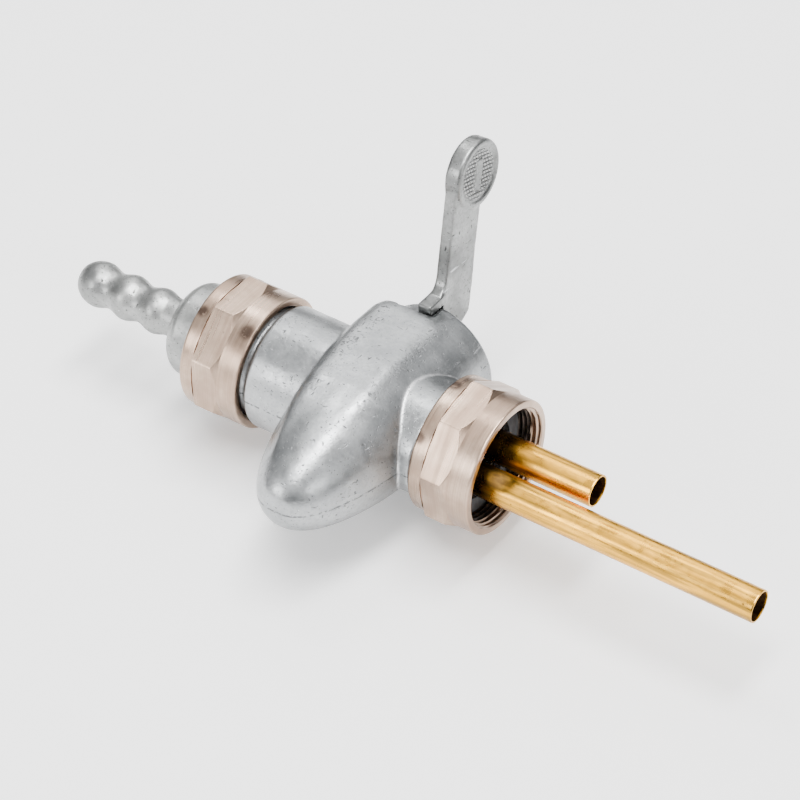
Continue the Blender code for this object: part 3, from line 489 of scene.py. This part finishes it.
def drawn_brass():
    """Brass tube: lengthwise draw lines, amber patches and dark stain spots, with painted shade
    where it enters the nut and in the dent.
    """
    paint = Paint("drawn_brass", 0.28, 1.0)
    streak = paint.noise(700.0, 3.0, 0.6, paint.scaled((0.05, 1.0, 1.0)))
    patch = paint.band(paint.noise(120.0, 4.0, 0.6, paint.scaled((0.5, 1.0, 1.0))), 0.36, 0.66)
    colour = paint.mix(patch, (0.64, 0.325, 0.030), (0.96, 0.495, 0.050))
    colour = paint.mix(paint.band(streak, 0.44, 0.60, 0.0, 0.8), colour, (0.27, 0.15, 0.022))
    # painted shade: the tube darkened where it enters the tank nut's mouth
    mouth = paint.band(paint.axis("X"), 0.009, 0.001, 0.0, 0.85)
    colour = paint.mix(mouth, colour, (0.10, 0.055, 0.018))
    blot = paint.band(paint.noise(700.0, 3.0, 0.7), 0.2, 0.45)
    # painted shade in the dent, broken up by the blot
    dent = paint.math("MULTIPLY", paint.near(DENT_SHADE, 0.0030, 0.0010), blot)
    spot = paint.band(paint.noise(520.0, 3.0, 0.7), 0.67, 0.75)
    # real stain spots together with the dent's painted shade
    stain = paint.math("MAXIMUM", spot, dent)
    colour = paint.mix(paint.math("MULTIPLY", stain, 0.85), colour, (0.06, 0.033, 0.015))
    roughness = paint.band(paint.noise(260.0, 3.0, 0.6), 0.3, 0.7, 0.22, 0.36)
    roughness = paint.math("ADD", roughness, paint.math("MULTIPLY", stain, 0.25))
    normal = paint.bump(streak, 0.00003, 0.6)
    normal = paint.bump(paint.noise(180.0, 2.0, 0.5), 0.00008, 0.3, normal)
    return paint.finish(colour, roughness, normal)


def pipe_inside():
    """Brown tarnish inside the stand pipes."""
    paint = Paint("pipe_inside", 0.5, 1.0)
    cloud = paint.band(paint.noise(300.0, 4.0, 0.7), 0.35, 0.65)
    colour = paint.mix(cloud, (0.05, 0.025, 0.012), (0.16, 0.085, 0.035))
    roughness = paint.band(paint.noise(500.0), 0.3, 0.7, 0.4, 0.6)
    return paint.finish(colour, roughness, paint.bump(paint.noise(900.0), 0.00003, 0.5))


def plated_steel():
    paint = Paint("plated_steel", 0.34, 1.0)
    cloud = paint.band(paint.noise(260.0, 3.0, 0.6), 0.35, 0.65)
    colour = paint.mix(cloud, (0.50, 0.51, 0.52), (0.68, 0.69, 0.68))
    roughness = paint.band(paint.noise(500.0, 2.0, 0.5), 0.3, 0.7, 0.28, 0.42)
    normal = paint.bump(paint.noise(1400.0, 2.0, 0.5), 0.00002, 0.4)
    return paint.finish(colour, roughness, normal)


def black_rubber():
    paint = Paint("black_rubber", 0.6, 0.0)
    cloud = paint.band(paint.noise(300.0, 3.0, 0.6), 0.3, 0.7)
    colour = paint.mix(cloud, (0.012, 0.012, 0.013), (0.03, 0.03, 0.03))
    roughness = paint.band(paint.noise(400.0), 0.3, 0.7, 0.5, 0.7)
    normal = paint.bump(paint.noise(1600.0, 2.0, 0.5), 0.00002, 0.5)
    return paint.finish(colour, roughness, normal)


def gasket_fibre():
    paint = Paint("gasket_fibre", 0.75, 0.0)
    fibre = paint.noise(900.0, 4.0, 0.7, paint.scaled((1.0, 1.0, 0.25)))
    cloud = paint.band(fibre, 0.35, 0.65)
    colour = paint.mix(cloud, (0.022, 0.022, 0.024), (0.06, 0.06, 0.063))
    roughness = paint.band(fibre, 0.3, 0.7, 0.6, 0.8)
    return paint.finish(colour, roughness, paint.bump(fibre, 0.00005, 0.6))


# Mesh helpers
def fade(value, low, high):
    """A smooth step of the value from low to high."""
    t = np.clip((value - low) / (high - low), 0.0, 1.0)
    return t * t * (3.0 - 2.0 * t)


def vertex_array(mesh):
    flat = np.empty(len(mesh.vertices) * 3)
    mesh.vertices.foreach_get("co", flat)
    return flat.reshape(-1, 3)


def set_vertices(mesh, points):
    mesh.vertices.foreach_set("co", np.ascontiguousarray(points).ravel())
    mesh.update()


def add_mark(mesh, name, values):
    """Store a number for each vertex, which the materials read by its name."""
    marks = mesh.attributes.new(name, "FLOAT", "POINT")
    marks.data.foreach_set("value", values.astype(np.float32))


def relax(mesh, weight, rounds):
    """Move each vertex towards its neighbours' mean by its weight."""
    points = vertex_array(mesh)
    edges = np.empty(len(mesh.edges) * 2, dtype=np.int64)
    mesh.edges.foreach_get("vertices", edges)
    a, b = edges.reshape(-1, 2).T
    count = len(points)
    degree = np.bincount(a, minlength=count) + np.bincount(b, minlength=count)
    w = np.asarray(weight)[:, None] if np.ndim(weight) else weight
    for _ in range(rounds):
        total = np.zeros_like(points)
        for axis in range(3):
            total[:, axis] = (np.bincount(a, points[b, axis], count)
                              + np.bincount(b, points[a, axis], count))
        points += w * (total / np.maximum(degree, 1)[:, None] - points)
    set_vertices(mesh, points)


def ring_grid(rows, count):
    """A closed loop of profile rows swept about X.

    A row gives its x and its radius, which may be a function of the angle.
    """
    angle = np.arange(count) * 2 * math.pi / count
    verts = []
    for x, radius in rows:
        r = radius(angle) if callable(radius) else np.full(count, float(radius))
        verts.append(np.stack([np.full(count, float(x)), r * np.cos(angle), r * np.sin(angle)],
                              axis=1))
    verts = np.concatenate(verts) * MM
    total = len(rows)
    i = np.arange(total)[:, None]
    k = np.arange(count)[None, :]
    i2 = (i + 1) % total
    k2 = (k + 1) % count
    faces = np.stack([i * count + k, i * count + k2, i2 * count + k2, i2 * count + k], axis=-1)
    return verts, faces.reshape(-1, 4)


def fine_copy(node, name, voxel, extra=None):
    """A closed, evenly meshed copy of a CAD node, with an extra closed form melted in."""
    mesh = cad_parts[node].data.copy()
    if extra is not None:
        points = [tuple(v.co) for v in mesh.vertices]
        faces = [tuple(face.vertices) for face in mesh.polygons]
        more_points, more_faces = extra
        faces += [tuple(int(i) + len(points) for i in face) for face in more_faces]
        points += [tuple(v) for v in more_points]
        mesh = bpy.data.meshes.new(name)
        mesh.from_pydata(points, [], faces)
        mesh.update()
    obj = bpy.data.objects.new(name, mesh)
    bpy.context.scene.collection.objects.link(obj)
    mod = obj.modifiers.new("grid", "REMESH")
    mod.mode = "VOXEL"
    mod.voxel_size = voxel * MM
    mod.adaptivity = 0.0
    graph = bpy.context.evaluated_depsgraph_get()
    fine = bpy.data.meshes.new_from_object(obj.evaluated_get(graph))
    obj.modifiers.clear()
    obj.data = fine
    return obj


def close_sheet(top, quads, sink):
    """Give a sheet a back and a wall all round, so that it is one closed body."""
    count = len(top)
    bottom = top + np.array(sink)
    rim = {}
    for quad in quads:
        for i in range(4):
            a, b = int(quad[i]), int(quad[(i + 1) % 4])
            if (b, a) in rim:
                del rim[(b, a)]
            else:
                rim[(a, b)] = True
    walls = [(b, a, a + count, b + count) for a, b in rim]
    faces = [tuple(int(i) for i in quad) for quad in quads]
    faces += [tuple(int(i) + count for i in reversed(quad)) for quad in quads]
    return np.concatenate([top, bottom]), faces + walls


def add_piece(name, verts, faces, mat, body, replaces, smooth, inner=None, is_inner=None):
    """Make a piece from arrays; is_inner marks the faces that take the inner material."""
    mesh = bpy.data.meshes.new(name)
    mesh.from_pydata([tuple(v) for v in verts], [], [tuple(f) for f in faces])
    mesh.update()
    obj = bpy.data.objects.new(name, mesh)
    bpy.context.scene.collection.objects.link(obj)
    finish_piece(obj, mat, body, replaces, smooth)
    if inner is not None:
        mesh.materials.append(inner)
        mesh.polygons.foreach_set("material_index", np.asarray(is_inner, dtype=np.int32))
        mesh.update()
    return obj


def finish_piece(obj, mat, body, replaces, smooth=None):
    """Give a piece its material, body and replaced nodes; edges over smooth are sharp."""
    mesh = obj.data
    mesh.materials.clear()
    mesh.materials.append(mat)
    mesh.shade_smooth()
    if smooth is not None:
        mesh.set_sharp_from_angle(angle=math.radians(smooth))
    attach(obj, body)
    if replaces:
        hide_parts(*replaces)


# Casting
def skin_radius(y, turn):
    """The casting's outer radius from the spindle, as the solid's sections give it."""
    share = np.clip((y - NOSE_START_Y) / (RIM_Y - NOSE_START_Y), 0.0, 1.0)
    barrel = BODY_R + (RIM_R - BODY_R) * share * share
    s = np.clip((NOSE_START_Y - y) / (NOSE_START_Y - NOSE_TIP_Y), 0.0, 1.0)
    nose = BODY_R * (1.0 - s ** NOSE_POWER) ** (1.0 / NOSE_ROUND)
    plain = np.maximum(np.where(y >= NOSE_START_Y, barrel, nose), 1e-3)
    rise = (HUMP_NOSE_LEVEL - HUMP_SUNK) * fade(y, NOSE_TIP_Y, HUMP_NOSE_Y)
    rise = rise + (HUMP_TOP_Z / BODY_R - HUMP_NOSE_LEVEL) * fade(y, HUMP_RISE_Y, HUMP_FULL_Y)
    shoulder = np.clip((y - HUMP_SHOULDER_Y) / (RIM_Y - HUMP_SHOULDER_Y), 0.0, 1.0)
    level = plain * (HUMP_SUNK + rise * np.sqrt(1.0 - shoulder * shoulder))
    flare = fade(y, HUMP_FLARE_Y, -HUMP_FLARE_Y) * (1.0 - fade(y, HUMP_SHOULDER_Y, RIM_Y))
    left_turn = np.minimum(turn - math.radians(HUMP_LEFT_DEG), 0.0)
    right_turn = np.maximum(turn - math.radians(HUMP_RIGHT_DEG), 0.0)
    total = 1e-30
    for away, distance in ((turn, level), (left_turn, level + HUMP_FLARE * flare),
                           (right_turn, plain * HUMP_RIGHT_D / BODY_R)):
        total = total + (np.maximum(np.cos(away), 0.0) / distance) ** HUMP_CREST
    past = fade(np.degrees(turn), HUMP_LEFT_DEG, HUMP_LEFT_DEG + HUMP_FADE_DEG)
    hump = total ** (-1.0 / HUMP_CREST) * (1.0 - (1.0 - HUMP_SUNK) * past)
    hump = np.minimum(hump, 2.0 * plain)
    return (plain ** HUMP_BLEND + hump ** HUMP_BLEND) ** (1.0 / HUMP_BLEND)


def neck_radius(angle):
    """The inlet neck is wider along the spindle than it is high."""
    return 1.0 / np.sqrt((np.cos(angle) / NECK_WIDE) ** 2 + (np.sin(angle) / NECK_HIGH) ** 2)


def body_field(points):
    """Rough distances to the bullet, to its neck or boss, and to the skin of both together."""
    x = points[:, 0] - SPINDLE_X
    y = points[:, 1]
    z = points[:, 2]
    turn = np.arctan2(-x, z)
    bullet = np.hypot(x, z) - skin_radius(np.clip(y, NOSE_TIP_Y + 0.01, RIM_Y), turn)
    off = y - NECK_OFF
    neck = np.hypot(off, z) - neck_radius(np.arctan2(z, off))
    neck = np.where(x > 3.0, neck, 50.0)
    boss = np.where(x < -3.0, np.hypot(y, z) - BOSS_R, 50.0)
    side = np.minimum(neck, boss)
    both = -SKIN_MELT * np.logaddexp(-bullet / SKIN_MELT, -side / SKIN_MELT)
    return bullet, side, both


def draw_onto_skin(mesh):
    """Move the vertices near the skin onto it, and say which lie on the neck's ridge."""
    points = vertex_array(mesh) / MM
    x = points[:, 0] - SPINDLE_X
    y = points[:, 1]
    through = np.hypot(y, points[:, 2])
    field = body_field(points)[2]
    slope = np.empty_like(points)
    for axis in range(3):
        step = np.zeros(3)
        step[axis] = SKIN_STEP
        rise = body_field(points + step)[2] - body_field(points - step)[2]
        slope[:, axis] = rise / (2 * SKIN_STEP)
    ridge = (x > 3.0) & (x < 14.2) & (through > 9.9) & (through < 13.2)
    reach = np.where(ridge, np.where(field > 0.0, NECK_FILL_REACH, NECK_SINK_REACH), SKIN_REACH)
    pull = 1.0 - fade(np.abs(field), reach * 0.6, reach)
    pull *= 1.0 - fade(y, RIM_Y - 0.9, RIM_Y - 0.4)
    pull *= fade(y, NOSE_TIP_Y + 0.2, NOSE_TIP_Y + 0.6)
    pull *= 1.0 - fade(x, 14.3, 14.7)
    shoulder_x = OUTLET_SHOULDER_X - SPINDLE_X
    pull *= fade(x, shoulder_x + 0.5, shoulder_x + 1.0)
    size = np.maximum((slope ** 2).sum(axis=1), 0.05)
    set_vertices(mesh, (points - slope * (pull * field / size)[:, None]) * MM)
    return ridge & (np.abs(field) < NECK_FILL_REACH)


def mark_body(mesh):
    """Mark the hump's worn edges, and the line for a painted highlight along the fillet where the
    neck leaves the bullet.
    """
    points = vertex_array(mesh) / MM
    x = points[:, 0] - SPINDLE_X
    y = points[:, 1]
    turn_deg = np.degrees(np.arctan2(-x, points[:, 2]))
    left = np.exp(-((turn_deg - 31.0) / 8.0) ** 2) * fade(y, -22.0, -8.0)
    right = np.exp(-((turn_deg + 18.0) / 4.0) ** 2) * fade(y, -18.0, -8.0)
    add_mark(mesh, "edge_marks", np.maximum(left, right))
    bullet, side, _ = body_field(points)
    # the fillet where the neck leaves the bullet, which takes the painted highlight
    crease = 1.0 - fade(np.abs(bullet) + np.abs(side), 0.05, 0.34)
    add_mark(mesh, "fillet_highlight_line", crease * (x > 0.0))


def add_body(mat):
    """The casting: an even mesh of the solid with its oval neck, drawn onto its smooth skin."""
    profile = [(NECK_START_X, NECK_HOLE_R), (NECK_START_X, neck_radius),
               (NECK_END_X, neck_radius), (NECK_END_X, NECK_HOLE_R)]
    neck_points, neck_faces = ring_grid(profile, NECK_STEPS)
    neck_points[:, 1] += NECK_OFF * MM
    obj = fine_copy("valve_body", "cast_body", BODY_VOXEL, (neck_points, neck_faces))
    mesh = obj.data
    relax(mesh, 0.45, 3)
    for turn in range(SKIN_ROUNDS):
        ridge = draw_onto_skin(mesh)
        if turn < SKIN_ROUNDS - 1:
            relax(mesh, np.where(ridge, 0.35, 0.0), 2)
    mark_body(mesh)
    finish_piece(obj, mat, "tap", ["valve_body"])


# Lever
def add_lever(mat):
    obj = fine_copy("lever", "cast_lever", LEVER_VOXEL)
    relax(obj.data, 0.5, 4)
    finish_piece(obj, mat, "lever", ["lever"])


def pad_relief(u, v):
    """Height of the pad's ground: small dots in staggered rows round a plain bar."""
    lean = math.radians(PAD_LEAN)
    along = u * math.sin(lean) + v * math.cos(lean)
    across = u * math.cos(lean) - v * math.sin(lean)
    row = np.round(along / DOT_ROW)
    shift = np.where(np.mod(row, 2) > 0.5, DOT_PITCH / 2, 0.0)
    dot_along = along - row * DOT_ROW
    dot_across = np.mod(across - shift + DOT_PITCH / 2, DOT_PITCH) - DOT_PITCH / 2
    dots = DOT_TOP * (1.0 - fade(np.hypot(dot_along, dot_across), DOT_CORE_R, DOT_FOOT_R))
    from_bar = np.hypot(across, np.maximum(np.abs(along) - BAR_HALF_L, 0.0)) - BAR_HALF_W
    bar = 1.0 - fade(from_bar, 0.0, 0.25)
    height = np.maximum(dots * fade(from_bar, 0.25, 0.5), BAR_TOP * bar)
    return height * (1.0 - fade(np.hypot(u, v), PAD_GROUND_R - 0.25, PAD_GROUND_R))


def add_pad_face(mat):
    """The pad's ground as a thin closed sheet, sunk into the bottom of the pad's dish."""
    span = np.linspace(-1.0, 1.0, PAD_STEPS) * PAD_GROUND_R
    u, v = np.meshgrid(span, span, indexing="ij")
    height = pad_relief(u, v)
    local_x = PAD_FACE_X - PAD_FLOOR + height
    local_z = PAD_Z + v
    tilt = math.radians(LEVER_TILT)
    top = np.stack([SPINDLE_X + local_x * math.cos(tilt) + local_z * math.sin(tilt), PAD_Y + u,
                    -local_x * math.sin(tilt) + local_z * math.cos(tilt)], axis=-1)
    top = top.reshape(-1, 3) * MM
    inside = np.hypot(u, v) <= PAD_GROUND_R
    index = np.arange(PAD_STEPS ** 2).reshape(PAD_STEPS, PAD_STEPS)
    keep = inside[:-1, :-1] & inside[1:, :-1] & inside[:-1, 1:] & inside[1:, 1:]
    quads = np.stack([index[:-1, :-1], index[1:, :-1], index[1:, 1:], index[:-1, 1:]], axis=-1)
    quads = quads[keep]
    used = np.unique(quads)
    lookup = np.full(PAD_STEPS ** 2, -1)
    lookup[used] = np.arange(len(used))
    verts, faces = close_sheet(top[used], lookup[quads], (-PAD_BACK * MM, 0.0, 0.0))
    obj = add_piece("pad_face", verts, faces, mat, "lever", (), 60)
    # the low ground between the dots, which takes painted shade
    low = 1.0 - fade(height.reshape(-1)[used], 0.02, 0.22)
    add_mark(obj.data, "painted_recess_shade", np.concatenate([low, low]))


# Union nuts
def nut_outside(distance):
    """Radius by angle at a distance from the nut's rear: round collars and eight flats between."""
    step = 2 * math.pi / FLAT_COUNT
    corner_r = FLAT_R / math.cos(step / 2)
    front_slope = (corner_r - NUT_R) / FLATS_CHAMFER

    def radius(angle):
        if abs(distance - FLATS_START) < GROOVE_HALF:
            return np.full_like(angle, NUT_R - GROOVE_DEPTH)
        from_flat = np.mod(angle, step) - step / 2
        from_corner = np.mod(angle + step / 2, step) - step / 2
        flats = np.minimum(FLAT_R / np.cos(from_flat),
                           (corner_r - CORNER_BREAK) / np.cos(from_corner))
        front = corner_r - max(0.0, distance - FLATS_END) * front_slope
        rear = NUT_R + max(0.0, distance - FLATS_START + 0.25) * FLATS_REAR_SLOPE
        outline = np.minimum(np.minimum(flats, front), rear)
        if distance < FLATS_START or distance > FLATS_END + FLATS_CHAMFER:
            return np.maximum(outline, NUT_R)
        return outline
    return radius


def nut_thread(distance):
    """Radius by angle inside the nut: a thread that starts past the collar, open at the mouth."""
    def radius(angle):
        phase = np.mod(distance / THREAD_PITCH - angle / (2 * math.pi), 1.0)
        wave = np.clip(np.abs(phase - 0.5) * 2.6 - 0.3, 0.0, THREAD_DEPTH)
        deep = float(fade(distance, THREAD_START, THREAD_START + 0.8))
        open_end = 0.55 * float(fade(distance, NUT_L - 0.9, NUT_L))
        return NUT_BORE_R + np.maximum(wave * deep, open_end)
    return radius


def nut_rows(rear_x):
    """A nut's closed profile from rear to mouth and back inside, and its count of bright rows."""
    rows = [(rear_x, NUT_HOLE_R + 0.2), (rear_x, NUT_R - NUT_REAR_EDGE)]
    for deg in (20, 40, 60, 80):
        turn = math.radians(deg)
        rows.append((rear_x + NUT_REAR_EDGE - NUT_REAR_EDGE * math.cos(turn),
                     NUT_R - NUT_REAR_EDGE + NUT_REAR_EDGE * math.sin(turn)))
    front = FLATS_END + FLATS_CHAMFER
    spans = (
        # from, to, space between rows: close rows where the form turns
        (0.6, FLATS_START - 0.45, 0.4),
        (FLATS_START - 0.40, FLATS_START + 0.6, 0.05),
        (FLATS_START + 0.65, FLATS_END, 0.12),
        (FLATS_END, front + 0.2, 0.05),
        (front + 0.4, NUT_L - 0.6, 0.4),
    )
    for span in spans:
        for distance in np.arange(*span):
            rows.append((rear_x + float(distance), nut_outside(float(distance))))
    for deg in (0, 25, 50, 75, 90):
        turn = math.radians(deg)
        rows.append((rear_x + NUT_L - NUT_MOUTH_EDGE + NUT_MOUTH_EDGE * math.sin(turn),
                     NUT_R - NUT_MOUTH_EDGE + NUT_MOUTH_EDGE * math.cos(turn)))
    rows.append((rear_x + NUT_L, NUT_BORE_R + NUT_MOUTH_CHAMFER))
    bright_rows = len(rows)
    for distance in np.arange(NUT_L - 0.08, NUT_COLLAR_T + 0.05, -THREAD_STEP):
        rows.append((rear_x + float(distance), nut_thread(float(distance))))
        if distance > NUT_L - BRIGHT_MOUTH_L:
            bright_rows = len(rows)
    rows += [(rear_x + NUT_COLLAR_T, NUT_BORE_R), (rear_x + NUT_COLLAR_T, NUT_HOLE_R + 0.15),
             (rear_x + NUT_COLLAR_T - 0.15, NUT_HOLE_R), (rear_x + 0.2, NUT_HOLE_R)]
    return rows, bright_rows


def add_nut(node, rear_x, turn_deg, body, mat, inner):
    rows, bright_rows = nut_rows(rear_x)
    verts, faces = ring_grid(rows, NUT_STEPS)
    turn = math.radians(turn_deg)
    spun = verts.copy()
    spun[:, 1] = verts[:, 1] * math.cos(turn) - verts[:, 2] * math.sin(turn)
    spun[:, 2] = verts[:, 1] * math.sin(turn) + verts[:, 2] * math.cos(turn)
    # faces past the bright rows take the inner material, painted nearly black as shade inside the
    # nut
    is_inner = np.arange(len(faces)) // NUT_STEPS >= bright_rows
    add_piece("fine_" + node, spun, faces, mat, body, [node], 24, inner, is_inner)


# Stand pipes
def pipe_wall(x, base, dented):
    """A pipe's radius at x, pressed in where the dent is."""
    def radius(angle):
        r = np.full_like(angle, base)
        if dented:
            lengthwise = math.exp(-((x - DENT_X) / DENT_L) ** 2)
            away = np.mod(angle - math.radians(DENT_DEG) + math.pi, 2 * math.pi) - math.pi
            r = r - DENT_DEPTH * lengthwise * np.exp(-(away / DENT_SPREAD) ** 2)
        return r
    return radius


def add_pipe(node, y, z, end_x, dented, mat, inside):
    between = list(np.arange(PIPE_START_X + 0.5, end_x - 0.3, PIPE_SPACE))
    stations = [float(x) for x in [PIPE_START_X] + between + [end_x - 0.12]]
    rows = [(x, pipe_wall(x, PIPE_R, dented)) for x in stations]
    rows += [(end_x - 0.03, PIPE_R - 0.03), (end_x, PIPE_R - 0.1),
             (end_x, PIPE_BORE_R + 0.08), (end_x - 0.05, PIPE_BORE_R + 0.02)]
    outer_rows = len(rows)
    rows += [(x, pipe_wall(x, PIPE_BORE_R, dented)) for x in reversed(stations[:-1])]
    verts, faces = ring_grid(rows, PIPE_STEPS)
    verts[:, 1] += y * MM
    verts[:, 2] += z * MM
    is_inner = np.arange(len(faces)) // PIPE_STEPS >= outer_rows
    add_piece("fine_" + node, verts, faces, mat, "tap", [node], 35, inside, is_inner)


# Hose barb
def barb_rows():
    """The barb's closed profile: flange, dome, bulges, tip and back through the bore."""
    flange_x = BARB_FACE_X - BARB_FLANGE_T
    dome_x = flange_x - DOME_START
    rim_r = BARB_FLANGE_R - BARB_EDGE
    rows = [(BARB_FACE_X, BARB_SEAT_R), (BARB_FACE_X, rim_r),
            (BARB_FACE_X - BARB_EDGE, BARB_FLANGE_R), (flange_x + BARB_EDGE, BARB_FLANGE_R),
            (flange_x, rim_r), (flange_x, DOME_R)]
    rows += [(float(x), DOME_R) for x in np.linspace(flange_x - 0.4, dome_x, 16)]
    for i in range(1, 25):
        a = math.radians(DOME_CUT_DEG * i / 24)
        rows.append((dome_x - DOME_L * math.sin(a), DOME_R * math.cos(a)))

    mean = (BARB_BULGE_R + BARB_NECK_R) / 2
    swing = (BARB_BULGE_R - BARB_NECK_R) / 2
    cut_x = dome_x - DOME_L * math.sin(math.radians(DOME_CUT_DEG))
    first = cut_x - FIRST_BULGE
    last = first - BULGE_PITCH * (BULGE_COUNT - 1)
    start = first + BULGE_PITCH * BULGE_LEAD
    start_r = mean + swing * math.cos(2 * math.pi * BULGE_LEAD)
    for i in range(1, 5):
        t = i / 5
        rows.append((cut_x + (start - cut_x) * t, BARB_NECK_R + (start_r - BARB_NECK_R) * t))
    for i in range(0, 97):
        x = start + (last - start) * i / 96
        rows.append((x, mean + swing * math.cos(2 * math.pi * (x - first) / BULGE_PITCH)))
    for i in range(1, 13):
        a = math.radians(BARB_TIP_DEG * i / 12)
        rows.append((last - BARB_TIP_L * math.sin(a), BARB_BULGE_R * math.cos(a)))
    tip = last - BARB_TIP_L * math.sin(math.radians(BARB_TIP_DEG))
    rows += [(tip, BARB_BORE_R + BARB_EDGE), (tip + BARB_EDGE, BARB_BORE_R),
             (dome_x, BARB_BORE_R), (dome_x + 1.5, BARB_SEAT_R)]
    return rows


def add_barb(mat):
    verts, faces = ring_grid(barb_rows(), BARB_STEPS)
    # The rows run towards -X, so the faces are turned to look outwards
    add_piece("fine_hose_barb", verts, faces[:, ::-1], mat, "tap", ["hose_barb"],
              40)


def paint_nodes(nodes, mat):
    for node in nodes:
        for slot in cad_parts[node].material_slots:
            slot.material = mat


def main():
    add_camera()
    add_room()
    for lamp in LAMPS:
        add_lamp(*lamp)
    add_paper()

    add_body(zinc_cast("zinc_cast", (0.405, 0.415, 0.42), (0.30, 0.31, 0.315), 0.355, marked=True))
    add_lever(zinc_cast("zinc_lever", (0.31, 0.315, 0.31), (0.15, 0.153, 0.15), 0.36))
    add_pad_face(zinc_cast("zinc_pad", (0.44, 0.445, 0.44), (0.32, 0.325, 0.32), 0.36, ground=True))

    nickel = nickel_plate()
    inner = thread_shade()
    add_nut("tank_nut", TANK_NUT_REAR_X, TANK_NUT_TURN, "tank_nut", nickel, inner)
    add_nut("outlet_nut", OUTLET_NUT_REAR_X, OUTLET_NUT_TURN, "tap", nickel, inner)
    add_barb(zinc_cast("zinc_barb", (0.38, 0.385, 0.375), (0.26, 0.265, 0.26), 0.40))

    brass = drawn_brass()
    tarnish = pipe_inside()
    add_pipe("main_pipe", MAIN_Y, MAIN_Z, MAIN_END_X, True, brass, tarnish)
    add_pipe("reserve_pipe", RESERVE_Y, RESERVE_Z, RESERVE_END_X, False, brass, tarnish)

    paint_nodes(["valve_rotor"], brass)
    paint_nodes(["thrust_washer", "wave_spring", "snap_ring", "lever_washer", "lever_screw",
                 "nut_retaining_ring"], plated_steel())
    paint_nodes(["seal_sleeve", "spindle_o_ring"], black_rubber())
    paint_nodes(["tank_gasket", "outlet_gasket"], gasket_fibre())


main()
